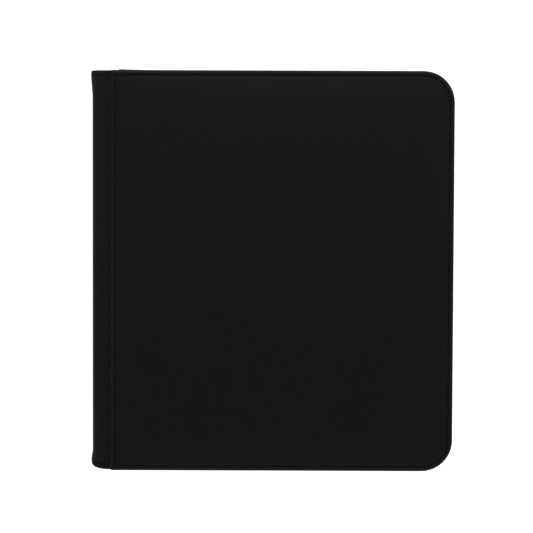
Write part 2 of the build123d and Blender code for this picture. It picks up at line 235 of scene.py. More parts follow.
def weave(name, thread_pitch, dark, light, sheen=0.25, mapped=False):
    """Plain woven cloth: crossed ribs with a little fuzz, laid by the grain UV map if it is mapped."""
    s = Surface(name)
    laid = s.add("ShaderNodeUVMap", uv_map="grain").outputs[0] if mapped else s.plain
    ribs = []
    for direction in ("X", "Y", "Z"):
        inputs = {"Vector": laid, "Scale": 1 / (2 * thread_pitch), "Distortion": 0.6, "Detail": 1.0}
        ribs.append(s.add("ShaderNodeTexWave", inputs, bands_direction=direction).outputs["Fac"])
    height = s.math("MULTIPLY", s.math("MAXIMUM", ribs[0], 0.25), s.math("MAXIMUM", ribs[1], 0.25))
    height = s.math("MULTIPLY", height, s.math("MAXIMUM", ribs[2], 0.5))
    fuzz = s.noise(laid, 1800.0, 3.0, 0.65)
    colour = s.mix(s.ramp(height, 0.05, 0.7), dark, light)
    colour = s.mix(s.ramp(s.noise(laid, 40.0), 0.35, 0.65, 0.0, 0.35), colour, dark)
    s.set(Base_Color=colour, Roughness=s.ramp(fuzz, 0.2, 0.8, 0.78, 0.95))
    s.set(Specular_IOR_Level=0.2, Sheen_Weight=sheen, Sheen_Roughness=0.5)
    s.bump(s.math("ADD", height, s.math("MULTIPLY", fuzz, 0.4)), 0.12 * MM)
    return s.material


def moulded(name, base, roughness, grain_scale, grain_depth, specular=0.4):
    """Moulded or filled plastic with a fine texture and slight scuffs."""
    s = Surface(name)
    grain = s.noise(s.plain, grain_scale, 3.0, 0.6)
    scuff = s.noise(s.plain, 260.0, 4.0, 0.7)
    worn = tuple(1.7 * value for value in base)
    colour = s.mix(s.ramp(scuff, 0.55, 0.75, 0.0, 0.5), base, worn)
    s.set(Base_Color=colour, Roughness=s.ramp(scuff, 0.3, 0.7, roughness, roughness + 0.14))
    s.set(Specular_IOR_Level=specular)
    s.bump(grain, grain_depth)
    return s.material


def black_metal():
    """Black-coated zip metal, with brushed scratches and metal showing at its scuffs."""
    s = Surface("black_metal")
    brush = s.noise(s.place(scale=(0.15, 1.0, 1.0)), 4200.0, 3.0, 0.6)
    scuff = s.noise(s.plain, 700.0, 4.0, 0.7)
    wear = s.ramp(scuff, 0.60, 0.74, 0.0, 0.3)
    colour = s.mix(wear, (0.018, 0.018, 0.02), (0.16, 0.16, 0.165))
    s.set(Base_Color=colour, Metallic=s.ramp(wear, 0.0, 1.0, 0.35, 0.9))
    s.set(Roughness=s.ramp(brush, 0.3, 0.7, 0.28, 0.42), Specular_IOR_Level=0.5)
    s.bump(brush, 0.015 * MM)
    return s.material


def clear_film():
    """Clear polypropylene film over the leaf's black sheet."""
    s = Surface("clear_film")
    waves = s.noise(s.plain, 34.0, 2.0, 0.5)
    haze = s.noise(s.plain, 500.0, 3.0, 0.6)
    s.set(Base_Color=(0.93, 0.94, 0.95), Transmission_Weight=1.0, IOR=1.45, Specular_IOR_Level=0.3)
    s.set(Roughness=s.ramp(haze, 0.3, 0.7, 0.09, 0.15))
    s.bump(waves, 0.5 * MM, 0.35)
    return s.material


def foam():
    """Open-celled foam."""
    s = Surface("foam")
    cell = s.cells(s.plain, 900.0, 1.0)
    colour = s.mix(s.ramp(cell, 0.1, 0.6), (0.10, 0.10, 0.105), (0.22, 0.22, 0.23))
    s.set(Base_Color=colour, Roughness=0.95)
    s.bump(cell, 0.3 * MM)
    return s.material


def greyboard():
    """Pressed recycled board with flecks."""
    s = Surface("greyboard")
    fleck = s.noise(s.plain, 900.0, 4.0, 0.75)
    fibre = s.noise(s.place(scale=(0.2, 1, 1)), 1500.0, 3.0, 0.6)
    colour = s.mix(s.ramp(fleck, 0.4, 0.65), (0.26, 0.23, 0.19), (0.40, 0.37, 0.32))
    s.set(Base_Color=colour, Roughness=s.ramp(fibre, 0.2, 0.8, 0.82, 0.95))
    s.bump(fibre, 0.1 * MM)
    return s.material


def floor_finish():
    """Near-white seamless paper."""
    s = Surface("paper_floor")
    tone = s.noise(s.plain, 3.0, 2.0)
    s.set(Base_Color=s.mix(s.ramp(tone, 0.3, 0.7), (0.90, 0.90, 0.90), (0.92, 0.92, 0.92)))
    s.set(Roughness=0.9, Specular_IOR_Level=0.1, Emission_Color=(1, 1, 1), Emission_Strength=0.66)
    return s.material


panel_leather = leather("panel_leather", holes=True)
# The spine's leather: the same leather made 1.6 times lighter as painted light, with painted shade beside the
# panel's edge
strip_leather = leather("strip_leather", 1.6, holes=True, painted_seam_shade=True)
wall_leather = leather("wall_leather", 1.1)
thread_finish = thread()
lining_cloth = weave("lining_cloth", 0.55 * MM, (0.010, 0.010, 0.011), (0.030, 0.030, 0.032))
tape_cloth = weave("tape_cloth", 0.5 * MM, (0.006, 0.006, 0.0065), (0.019, 0.019, 0.020), 0.15, True)
coil_nylon = moulded("coil_nylon", (0.016, 0.016, 0.017), 0.26, 3000.0, 0.02 * MM, 0.55)
pull_rubber = moulded("pull_rubber", (0.0095, 0.0095, 0.010), 0.48, 2400.0, 0.05 * MM, 0.35)
sheet_plastic = moulded("sheet_plastic", (0.010, 0.010, 0.0105), 0.42, 1400.0, 0.05 * MM, 0.4)
binding_plastic = moulded("binding_plastic", (0.014, 0.014, 0.0145), 0.5, 900.0, 0.06 * MM, 0.4)
zip_metal = black_metal()
film = clear_film()
foam_finish = foam()
board_finish = greyboard()


# ---- mesh helpers


def add_object(name, data):
    obj = bpy.data.objects.new(name, data)
    scene.collection.objects.link(obj)
    return obj


def mesh_object(name, verts, faces, material, smooth=True, closed=True, **maps):
    """An object at the origin from vertices and faces; maps are UV layers, with a (u, v) for each vertex."""
    mesh = bpy.data.meshes.new(name)
    mesh.from_pydata(np.asarray(verts, float).tolist(), [], [tuple(map(int, f)) for f in faces])
    at = np.empty(len(mesh.loops), int)
    mesh.loops.foreach_get("vertex_index", at)
    for label, places in maps.items():
        layer = mesh.uv_layers.new(name=label)
        layer.data.foreach_set("uv", np.asarray(places, float)[at].ravel())
    if closed:
        shell = bmesh.new()
        shell.from_mesh(mesh)
        bmesh.ops.recalc_face_normals(shell, faces=shell.faces)
        shell.to_mesh(mesh)
        shell.free()
    mesh.materials.append(material)
    mesh.polygons.foreach_set("use_smooth", [smooth] * len(mesh.polygons))
    return add_object(name, mesh)


def side_object(side, name, geometry, material, closed=True):
    """One side's object from the front's (verts, faces) or (verts, faces, UV maps)."""
    verts, faces, *maps = geometry
    verts = np.array(verts, float)
    if side == "back":
        verts[:, 2] = 2 * MIDDLE - verts[:, 2]
        faces = [f[::-1] for f in faces]
    maps = maps[0] if maps else {}
    return mesh_object(f"{side}_{name}", verts, faces, material, closed=closed, **maps)


def grid_faces(rows, columns, close_rows=False, close_columns=False, start=0):
    """Quads of a grid whose vertex (r, c) is start + r * columns + c."""
    faces = []
    for r in range(rows if close_rows else rows - 1):
        for c in range(columns if close_columns else columns - 1):
            r2, c2 = (r + 1) % rows, (c + 1) % columns
            corners = (r, c), (r, c2), (r2, c2), (r2, c)
            faces.append(tuple(start + i * columns + j for i, j in corners))
    return faces


def settle(obj, kind, **settings):
    """Add a modifier and apply it."""
    modifier = obj.modifiers.new(kind.title(), kind)
    for key, value in settings.items():
        setattr(modifier, key, value)
    graph = bpy.context.evaluated_depsgraph_get()
    mesh = bpy.data.meshes.new_from_object(obj.evaluated_get(graph))
    obj.modifiers.clear()
    obj.data = mesh
    mesh.polygons.foreach_set("use_smooth", [True] * len(mesh.polygons))


def sharpen(obj, degrees=35):
    """Keep edges steeper than an angle crisp."""
    obj.data.set_sharp_from_angle(angle=math.radians(degrees))


def attach(obj, body, node):
    """Let a piece ride on a body in place of a CAD node."""
    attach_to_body(obj, body)
    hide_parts(node)


def line_points(first, last, count):
    """Points from first up to, not including, last."""
    share = np.arange(count)[:, None] / count
    return np.array(first) * (1 - share) + np.array(last) * share


def arc_points(centre, radius, start, end, count):
    """Points on an arc in degrees, from start up to, not including, end."""
    angle = np.radians(start + (end - start) * np.arange(count) / count)
    return np.array(centre) + radius * np.stack([np.cos(angle), np.sin(angle)], 1)


def cover_piece(side, name, geometry, material, node):
    """A piece that rides on one cover."""
    obj = side_object(side, name, geometry, material)
    attach(obj, f"{side}_cover", f"{side}_{node}")
    return obj


def run_lengths(points):
    """Length along a line of points, at each of them."""
    return np.concatenate([[0], np.cumsum(np.linalg.norm(np.diff(points, axis=0), axis=1))])


def between(s, lengths, values):
    """Values known at lengths along a line, at other lengths s."""
    return np.stack([np.interp(s, lengths, column) for column in values.T], 1)


def tube_faces(rows, count):
    """Faces of a closed tube made of rows of count points, with a cap at each end."""
    caps = [tuple(range(count)), tuple(range((rows - 1) * count, rows * count))]
    return grid_faces(rows, count, close_columns=True) + caps


def tube_along(points, radius, sides, up):
    """A capped tube along points; up is the way its first side lies from."""
    points = np.array(points, float)
    tangents = np.gradient(points, axis=0)
    tangents /= np.linalg.norm(tangents, axis=1)[:, None]
    across = np.cross(tangents, up)
    across /= np.linalg.norm(across, axis=1)[:, None]
    lift = np.cross(across, tangents)
    radii = np.broadcast_to(radius, len(points))
    angle = (np.arange(sides) * math.tau / sides)[None, :, None]
    ring = np.cos(angle) * across[:, None] + np.sin(angle) * lift[:, None]
    verts = (points[:, None] + radii[:, None, None] * ring).reshape(-1, 3)
    return verts, tube_faces(len(points), sides)


def prism(outline, low, high, axis):
    """An outline in the plane across an axis, stretched along that axis from low to high."""
    ends = [np.insert(outline, axis, level, axis=1) for level in (low, high)]
    return np.concatenate(ends), tube_faces(2, len(outline))


def block(low, high):
    """A block between two corners."""
    plan = np.array([(low[0], low[1]), (high[0], low[1]), (high[0], high[1]), (low[0], high[1])])
    return prism(plan, low[2], high[2], 2)


def joined(parts):
    """Several (verts, faces) as one."""
    faces, start = [], 0
    for verts, quads in parts:
        faces += [tuple(start + i for i in f) for f in quads]
        start += len(verts)
    return np.concatenate([verts for verts, _ in parts]), faces


def smoothstep(value, low, high):
    share = np.clip((np.asarray(value, float) - low) / (high - low), 0, 1)
    return share * share * (3 - 2 * share)


# ---- covers


PANEL_REACH = HALF_HEIGHT + 0.35 * MM
LONG_STEPS = 44
ARC_STEPS = 12
SMALL_STEPS = 4


def cover_outline(inset, seam=SEAM):
    """Closed outline of a cover layer, pulled in by inset, anticlockwise from the tail by the spine.

    Also gives how much each point belongs to the spine side, from 0 to 1.
    """
    left, right, reach = seam + inset, FORE_EDGE - inset, PANEL_REACH - inset
    big, small = max(FORE_RADIUS - inset, MIN_RADIUS), SEAM_RADIUS
    near, near_y = left + small, reach - small
    far, far_y = right - big, reach - big
    pieces = (
        line_points((near, -reach), (far, -reach), LONG_STEPS),
        arc_points((far, -far_y), big, -90, 0, ARC_STEPS),
        line_points((right, -far_y), (right, far_y), LONG_STEPS),
        arc_points((far, far_y), big, 0, 90, ARC_STEPS),
        line_points((far, reach), (near, reach), LONG_STEPS),
        arc_points((near, near_y), small, 90, 180, SMALL_STEPS),
        line_points((left, near_y), (left, -near_y), LONG_STEPS),
        arc_points((near, -near_y), small, 180, 270, SMALL_STEPS),
    )
    turn = np.arange(SMALL_STEPS) / SMALL_STEPS
    open_count = sum(len(piece) for piece in pieces[:5])
    spine_side = np.concatenate([np.zeros(open_count), turn, np.ones(LONG_STEPS), 1 - turn])
    return np.concatenate(pieces), spine_side


def edge_distance(x, y):
    """How far places in plan lie inside the cover's rounded edge."""
    near = np.minimum(np.minimum(x - SEAM, FORE_EDGE - x), PANEL_REACH - np.abs(y))
    from_x, from_y = x - (FORE_EDGE - FORE_RADIUS), np.abs(y) - (PANEL_REACH - FORE_RADIUS)
    rounded = FORE_RADIUS - np.hypot(np.maximum(from_x, 0), np.maximum(from_y, 0))
    return np.where((from_x > 0) & (from_y > 0), rounded, near)


def simulate_crown():
    """Blow the cover's leather up over its foam, held along the stitching, by cloth simulation.

    Gives the two grid axes and the leather's height over the stitching at each grid place.
    """
    xs = np.linspace(SEAM, FORE_EDGE, int((FORE_EDGE - SEAM) / CLOTH_STEP) + 1)
    ys = np.linspace(-PANEL_REACH, PANEL_REACH, int(2 * PANEL_REACH / CLOTH_STEP) + 1)
    grid_x, grid_y = np.meshgrid(xs, ys, indexing="ij")
    verts = np.stack([grid_x, grid_y, np.zeros_like(grid_x)], -1).reshape(-1, 3)
    cloth = mesh_object("crown_cloth", verts, grid_faces(len(xs), len(ys)), panel_leather, closed=False)
    held = cloth.vertex_groups.new(name="held")
    inside = edge_distance(verts[:, 0], verts[:, 1])
    held.add([int(k) for k in np.flatnonzero(inside < STITCH_INSET + 0.5 * MM)], 1.0, "ADD")
    settings = cloth.modifiers.new("Cloth", "CLOTH").settings
    settings.vertex_group_mass = "held"
    settings.mass = 0.02
    settings.tension_stiffness = settings.compression_stiffness = 12
    settings.bending_stiffness = 0.6
    settings.use_pressure = True
    settings.uniform_pressure_force = CLOTH_PRESSURE
    settings.effector_weights.gravity = 0.0
    for step in range(1, CLOTH_STEPS + 1):
        scene.frame_set(step)
    graph = bpy.context.evaluated_depsgraph_get()
    blown = cloth.evaluated_get(graph).to_mesh()
    heights = np.empty(len(blown.vertices) * 3)
    blown.vertices.foreach_get("co", heights)
    heights = np.abs(heights.reshape(len(xs), len(ys), 3)[:, :, 2])
    bpy.data.meshes.remove(cloth.data)
    scene.frame_set(1)
    # foam stops the leather at its full height
    heights = CROWN * (1 - np.exp(-heights / CROWN))
    return xs, ys, heights


def sample(field, x, y):
    """Values of a simulated field at places in plan."""
    xs, ys, heights = field
    at_x = np.clip((x - xs[0]) / (xs[1] - xs[0]), 0, len(xs) - 1.001)
    at_y = np.clip((y - ys[0]) / (ys[1] - ys[0]), 0, len(ys) - 1.001)
    i, j = at_x.astype(int), at_y.astype(int)
    u, v = at_x - i, at_y - j
    low = heights[i, j] * (1 - v) + heights[i, j + 1] * v
    high = heights[i + 1, j] * (1 - v) + heights[i + 1, j + 1] * v
    return low * (1 - u) + high * u


def layer_shell(profile, base, seam=SEAM, floor=None, crown=None):
    """A closed shell from a profile of (inset, height over base) in mm, from the middle out and back.

    On the spine side no point lies below floor. Where a height is None, crown gives it.
    """
    verts, uv, grain = [], [], []
    lengths = run_lengths(cover_outline(STITCH_INSET)[0])
    known = [(inset, height or 0.0) for inset, height in profile]
    unrolled = profile[0][0] - run_lengths(np.array(known))
    for (inset, height), spread in zip(profile, unrolled):
        points, spine_side = cover_outline(inset * MM, seam)
        grain.append(cover_outline(spread * MM, seam)[0])
        if height is None:
            z = TOP - CROWN + sample(crown, points[:, 0], points[:, 1])
        else:
            z = np.full(len(points), (base + height) * MM)
        if floor is not None:
            z = z + spine_side * (np.maximum(z, floor) - z)
        verts.append(np.column_stack([points, z]))
        uv.append(np.column_stack([lengths, np.full(len(points), inset * MM)]))
    *quads, inner_cap, outer_cap = tube_faces(len(profile), len(lengths))
    faces = [f[::-1] for f in quads] + [inner_cap, outer_cap[::-1]]
    return np.concatenate(verts), faces, {"seam": np.concatenate(uv), "grain": np.concatenate(grain)}


CLOTH_STEP = 4 * MM
CLOTH_STEPS = 20
CLOTH_PRESSURE = 24.0
CROWN = 1.95 * MM

# Profiles of the cover's layers as (inset, height over the layer's base) in millimetres. The panel's runs
# from the crown over the stitched edge and back inside; its crown's heights come from the simulation.
CREST = TOP / MM
CROWN_INSETS = (130.0, 100.0, 76.0, 60.0, 48.0, 39.0, 32.0, 26.0, 21.0, 17.0, 13.5, 10.5, 8.2, 6.6, 5.4)
PANEL_PROFILE = tuple((inset, None) for inset in CROWN_INSETS) + (
    (4.95, -1.94), (4.35, -2.0), (3.8, -1.93), (3.2, -1.76), (2.4, -1.67), (1.7, -1.80), (0.9, -2.12),
    (0.4, -2.42), (0.1, -2.9), (0.0, -3.5), (0.05, -4.6), (0.4, -5.4), (1.1, -5.75), (2.4, -5.85),
    (3.4, -5.85), (3.4, -5.5), (1.1, -5.1), (1.0, -3.0), (4.1, -2.7), (8.0, -2.1), (17.0, -1.4),
    (36.0, -0.9), (62.0, -0.8),
)
FOAM_PROFILE = (
    (36.0, -1.0), (17.0, -1.5), (8.0, -2.2), (4.1, -2.8),
    (1.6, -3.0), (1.3, -3.1), (1.6, -3.15), (36.0, -3.15),
)
LINING_PROFILE = ((20.0, 0.7), (3.9, 0.7), (3.6, 0.4), (3.8, 0.06), (4.4, 0.0), (20.0, 0.0))
BOARD = (board_high.z - board_low.z) / MM
BOARD_PROFILE = ((20.0, BOARD), (2.9, BOARD), (2.6, BOARD - 0.2), (2.6, 0.2), (2.9, 0.0), (20.0, 0.0))
BOARD_START = board_low.x - 2.6 * MM
LINING_START = lining_low.x - 3.6 * MM
FOAM_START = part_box("front_cover_foam")[0].x - 1.3 * MM

# Layers inside: name, the CAD node's layer, profile, base, start beside the spine, material
INNER_LAYERS = (
    ("foam_pad", "foam", FOAM_PROFILE, CREST, FOAM_START, foam_finish),
    ("board", "board", BOARD_PROFILE, board_low.z / MM, BOARD_START, board_finish),
    ("lining", "lining", LINING_PROFILE, lining_low.z / MM, LINING_START, lining_cloth),
)


def cover_pieces(side, crown):
    shell = layer_shell(PANEL_PROFILE, CREST, floor=STRIP_TOP - STRIP_DIP + 0.03 * MM, crown=crown)
    panel = cover_piece(side, "panel", shell, panel_leather, "cover_skin")

    inner = {}
    for name, layer, profile, base, seam, material in INNER_LAYERS:
        verts, faces, _ = layer_shell(profile, base, seam=seam)
        inner[name] = cover_piece(side, name, (verts, faces), material, f"cover_{layer}")
    sharpen(inner["board"])


# ---- spine and folds


FOLD_STEPS = 8
STRIP_DIP = 0.6 * MM
FLARE_START = 4 * MM
FLARE_RUN = {1: 24 * MM, -1: 16 * MM}
FLARE = {1: 1.2 * MM, -1: 1.1 * MM}
END_REACH = {1: HALF_HEIGHT, -1: HALF_HEIGHT - 0.35 * MM}
END_CORNER = {1: (5.0 * MM, 0.5 * MM), -1: (14.0 * MM, 6.0 * MM)}
END_CORNER_RUN = 30 * MM
SPINE_BOARD_CUT = 6.5 * MM
WRAP_RADIUS = 1.0 * MM
WRAP_DEPTH = 3.9 * MM
FOLD_DEPTH = 2.7 * MM
FLAP = 3.2 * MM
HINGE_BEND = 5.0 * MM
UNDER_PANEL = 5.0 * MM
SKIN = 0.6 * MM
CLOTH = 0.35 * MM


def hinge_profile(end):
    """Section of the outer leather from the middle of the spine, round the fold and under the panel.

    Gives points (x, z), outward normals and length along the section, measured from the panel's edge.
    """
    up = line_points((SPINE_FACE, MIDDLE), (SPINE_FACE, HINGE.z), 6)
    fold = arc_points((HINGE.x, HINGE.z), FOLD_RADIUS, 180, 90, FOLD_STEPS)
    over = line_points((HINGE.x, STRIP_TOP), (end, STRIP_TOP), 12)
    points = np.concatenate([up, fold, over, [(end, STRIP_TOP)]])
    dip = np.clip((points[:, 0] - HINGE.x) / (SEAM - HINGE.x), 0, 1)
    points[:, 1] -= STRIP_DIP * dip ** 2
    turn = np.linspace(180, 90, FOLD_STEPS, endpoint=False)
    angle = np.radians(np.concatenate([np.full(len(up), 180.0), turn, np.full(len(over) + 1, 90.0)]))
    normals = np.stack([np.cos(angle), np.sin(angle)], 1)
    lengths = run_lengths(points)
    return points, normals, lengths[-1] - (end - SEAM) - lengths


def hinge_surface(points, normals, way, from_end, depth=0.0):
    """Places on the spine's leather: way is 1 at the head and -1 at the tail, from_end the distance in."""
    run, rise = END_CORNER[way]
    past = 1 - np.clip((points[:, 0] - SPINE_FACE) / run, 0, 1)
    drop = rise * (1 - np.sqrt(1 - past ** 2)) * (1 - smoothstep(from_end, 0, END_CORNER_RUN))
    flare = FLARE[way] * (1 - smoothstep(from_end, FLARE_START, FLARE_RUN[way]))
    flare *= 1 - smoothstep(depth, 0.5 * MM, WRAP_DEPTH - 0.6 * MM)
    near_face = 1 - smoothstep(points[:, 0], HINGE.x - 1 * MM, HINGE.x + 6 * MM)
    in_fold = (np.abs(normals[:, 0]) > 0.01) & (np.abs(normals[:, 1]) > 0.01)
    depth = np.where(in_fold, min(depth, FOLD_DEPTH), depth)
    x = points[:, 0] - flare * near_face - normals[:, 0] * depth
    z = points[:, 1] - normals[:, 1] * depth
    return np.column_stack([x, way * (END_REACH[way] - from_end - drop), z])


def end_distances():
    """How far in from the spine's end each row of the leather lies, with how deep it is turned in."""
    turned = [(FLAP, WRAP_DEPTH), (0.6 * MM, WRAP_DEPTH), (0.0, WRAP_DEPTH - 0.6 * MM)]
    for degrees in (0, 25, 50, 75, 90):
        turn = math.radians(degrees)
        turned.append((WRAP_RADIUS * (1 - math.cos(turn)), WRAP_RADIUS * (1 - math.sin(turn))))
    flat = [(d * MM, 0.0) for d in (1.8, 2.8, 4.1, 5.6, 7.6, 10, 13, 17, 22, 30, 45, 70, 100, 140)]
    return turned + flat


def hinge_skin(side):
    """The spine's leather from its middle to the cover panel, one piece curved round the fold at the hinge
    line.
    """
    points, normals, lengths = hinge_profile(SEAM + UNDER_PANEL)
    rows, uv, grain = [], [], []
    ends = end_distances()
    for way, order in ((-1, ends), (1, ends[::-1])):
        for from_end, depth in order:
            rows.append(hinge_surface(points, normals, way, from_end, depth))
            uv.append(np.column_stack([lengths, np.full(len(points), from_end - depth)]))
            grain.append(np.column_stack([-lengths, rows[-1][:, 1] + way * depth]))
    maps = {"seam": np.concatenate(uv), "grain": np.concatenate(grain)}
    geometry = np.concatenate(rows), grid_faces(len(rows), len(points)), maps
    skin = side_object(side, "hinge_skin", geometry, strip_leather, closed=False)
    settle(skin, "SOLIDIFY", thickness=SKIN, offset=-1.0)
    sharpen(skin, 50)
    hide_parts(f"{side}_hinge_strip", "spine_skin")
    bend_at_hinge(side, skin)


def bend_at_hinge(side, piece):
    """Bake a piece's placement into its mesh; the ends of a bend across the hinge line are worked out but not
    used.
    """
    reach = HINGE_BEND / math.sqrt(2)
    ends = [Vector((HINGE.x + d, 0, HINGE.z + d)) for d in (-reach, reach)]
    if side == "back":
        for end in ends:
            end.z = 2 * MIDDLE - end.z
    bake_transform(piece)


def make_spine_board():
    low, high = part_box("spine_board")
    verts, faces = block((low.x, low.y + SPINE_BOARD_CUT, low.z), (high.x, high.y - 1.0 * MM, high.z))
    board = mesh_object("spine_stiffener", verts, faces, board_finish, smooth=False)
    attach(board, "spine", "spine_board")


def fold_lining(side):
    """Lining cloth from the middle of the spine round the inside of the fold and on to the cover."""
    face, ceiling, radius = binding_low.x - 0.05 * MM, lining_low.z - 0.1 * MM, 2.0 * MM
    up = line_points((face, MIDDLE), (face, ceiling - radius), 6)
    fold = arc_points((face + radius, ceiling - radius), radius, 180, 90, 6)
    over = line_points((face + radius, ceiling), (LINING_START + 8 * MM, ceiling), 6)
    points = np.concatenate([up, fold, over, [(LINING_START + 8 * MM, ceiling)]])
    reach = lining_high.y - 1.2 * MM
    rows = [np.insert(points, 1, y, axis=1) for y in np.linspace(-reach, reach, 24)]
    faces = [f[::-1] for f in grid_faces(len(rows), len(points))]
    cloth = side_object(side, "fold_lining", (np.concatenate(rows), faces), lining_cloth, closed=False)
    settle(cloth, "SOLIDIFY", thickness=CLOTH, offset=-1.0)
    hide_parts("spine_lining")
    bend_at_hinge(side, cloth)


# ---- stitching


UNEVEN = (0.94, 1.06)
SLANT = (0.05 * MM, 0.11 * MM)
SUNK = 0.12 * MM
DIVE = 0.5 * MM


def stitches(
    path, normals, seed, pitch=STITCH_PITCH, length=STITCH_LENGTH, radius=THREAD_RADIUS, closed=False,
):
    """Separate stitches along a path, each humped and diving into the leather at its ends."""
    if closed:
        path, normals = np.vstack([path, path[:1]]), np.vstack([normals, normals[:1]])
    at = run_lengths(path)
    draw = random.Random(seed)
    parts = []
    shape = np.linspace(-0.5, 0.5, 7)
    hump = -SUNK - DIVE * np.abs(2 * shape) ** 3
    for k in range(int(at[-1] / pitch)):
        middle = (k + 0.5) * pitch
        s = middle + shape * length * draw.uniform(*UNEVEN)
        if s[-1] > at[-1] and not closed:
            continue
        s = s % at[-1] if closed else s
        line, out = between(s, at, path), between(s, at, normals)
        across = np.cross(out[3], line[-1] - line[0])
        across /= np.linalg.norm(across)
        slant = draw.uniform(*SLANT)
        line = line + out * hump[:, None] + across * (2 * shape * slant)[:, None]
        parts.append(tube_along(line, radius * draw.uniform(*UNEVEN), 6, up=out[3]))
    return joined(parts)


def cover_stitching(side):
    level = (CREST + dict(PANEL_PROFILE)[STITCH_INSET / MM]) * MM
    path = np.insert(cover_outline(STITCH_INSET)[0], 2, level, axis=1)
    up = np.tile((0, 0, 1.0), (len(path), 1))
    ring = stitches(path, up, seed=11, closed=True)
    cover_piece(side, "panel_stitches", ring, thread_finish, "panel_thread")

    points, normals, _ = hinge_profile(SEAM)
    out = np.insert(normals, 1, 0, axis=1)
    for end, way in ENDS:
        line = hinge_surface(points, normals, way, STITCH_INSET)
        seam = stitches(line[::-1], out[::-1], seed=21 + way)
        row = side_object(side, f"{end}_stitches", seam, thread_finish)
        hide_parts(f"{side}_strip_thread_{end}")
        bend_at_hinge(side, row)


# ---- zip wall


def wall_path(inset, start, step=6 * MM):
    """The U-shaped line of the zip wall, from the head by the spine to the tail, with outward normals."""
    right, reach, radius = FORE_EDGE - inset, HALF_HEIGHT - inset, FORE_RADIUS - inset
    far, far_y = right - radius, reach - radius
    side_steps = int((far - start) / step)
    fore_steps = int(2 * far_y / step)
    arc_steps = max(int(radius * math.pi / 2 / min(step, 3 * MM)), 10)
    points = np.concatenate([
        line_points((start, reach), (far, reach), side_steps),
        arc_points((far, far_y), radius, 90, 0, arc_steps),
        line_points((right, far_y), (right, -far_y), fore_steps),
        arc_points((far, -far_y), radius, 0, -90, arc_steps),
        line_points((far, -reach), (start, -reach), side_steps),
        [(start, -reach)],
    ])
    turn = 90 * np.arange(arc_steps) / arc_steps
    angle = np.radians(np.concatenate([
        np.full(side_steps, 90.0), 90 - turn, np.zeros(fore_steps), -turn, np.full(side_steps + 1, -90.0),
    ]))
    return points, np.stack([np.cos(angle), np.sin(angle)], 1)


def along_wall(section, start, waves=0.0):
    """Sweep a closed section of (inset, height) round the zip wall, with capped ends."""
    points, normals = wall_path(section[0][0], start)
    at = run_lengths(points)
    swell = waves * (np.sin(at * 37.0) + 0.6 * np.sin(at * 91.0 + 1.3))
    rows = []
    for inset, height, share in section:
        moved = points + normals * (section[0][0] - inset + share * swell)[:, None]
        rows.append(np.insert(moved, 2, height, axis=1))
    verts = np.stack(rows, 1).reshape(-1, 3)
    around = run_lengths(np.array(section)[:, :2])
    maps = {"grain": np.stack(np.meshgrid(at, around, indexing="ij"), -1).reshape(-1, 2)}
    return verts, tube_faces(len(points), len(section)), maps


WALL_INSET = FORE_EDGE - gusset_high.x
WALL_START = binding_low.x - 0.1 * MM
TAPE_INSET = FORE_EDGE - tape_high.x
TAPE = 0.6 * MM
COIL_PITCH = 1.5 * MM
COIL_WIRE = 0.33 * MM
COIL_STEPS = 8


def wall_section(inset, points):
    """A section of (inset past the given one, height, share of the waves), from millimetres to metres."""
    return [(inset + past * MM, height * MM, share) for past, height, share in points]


def gusset_section():
    """Section of the leather gusset: a folded free edge, and a welt where it meets the cover."""
    low, high = gusset_low.z / MM, gusset_high.z / MM
    return wall_section(WALL_INSET, (
        (0.25, low, 0.6), (0.05, low + 0.2, 1.0), (-0.08, low + 0.9, 1.0), (0.0, low + 1.9, 0.8),
        (0.10, low + 2.2, 0.8), (-0.02, low + 2.6, 1.0), (-0.15, low + 5.0, 1.0), (-0.05, high - 1.6, 0.6),
        (-0.55, high - 0.9, 0.0), (-0.9, high - 0.3, 0.0), (-0.7, high + 0.15, 0.0), (1.0, high + 0.15, 0.0),
        (0.95, high - 1.2, 0.4), (0.95, low + 0.9, 0.8), (0.85, low + 0.2, 0.8), (0.6, low, 0.6),
    ))


def tape_section():
    """Section of the woven tape, with the cord that carries the coil along its edge."""
    low, high = teeth_high.z / MM, tape_high.z / MM
    return wall_section(TAPE_INSET, (
        (0.30, low - 0.35, 0), (-0.12, low - 0.1, 0), (-0.30, low + 0.35, 0), (-0.12, low + 0.8, 0),
        (0.04, low + 1.1, 0), (0.04, high, 0), (0.56, high, 0), (0.56, low + 1.1, 0),
        (0.72, low + 0.8, 0), (0.90, low + 0.35, 0), (0.72, low - 0.1, 0),
    ))


def coil(phase):
    """The nylon coil: a flattened helix round the tape's edge, half of its height past the middle."""
    points, normals = wall_path(TAPE_INSET + TAPE / 2, teeth_low.x)
    at = run_lengths(points)
    step = np.arange(int(at[-1] / COIL_PITCH) * COIL_STEPS)
    s = (step + 0.5) / COIL_STEPS * COIL_PITCH
    angle = step * math.tau / COIL_STEPS + phase
    low, high = MIDDLE - 0.30 * MM, teeth_high.z + 0.15 * MM
    middle, half = (low + high) / 2, (high - low) / 2 - COIL_WIRE
    wide = (teeth_high.z - teeth_low.z) * 0.68
    flat = between(s, at, points) + between(s, at, normals) * (wide * np.cos(angle))[:, None]
    line = np.column_stack([flat, middle + half * np.sin(angle)])
    return tube_along(line, COIL_WIRE, 5, up=(0.02, 0.01, 1.0))


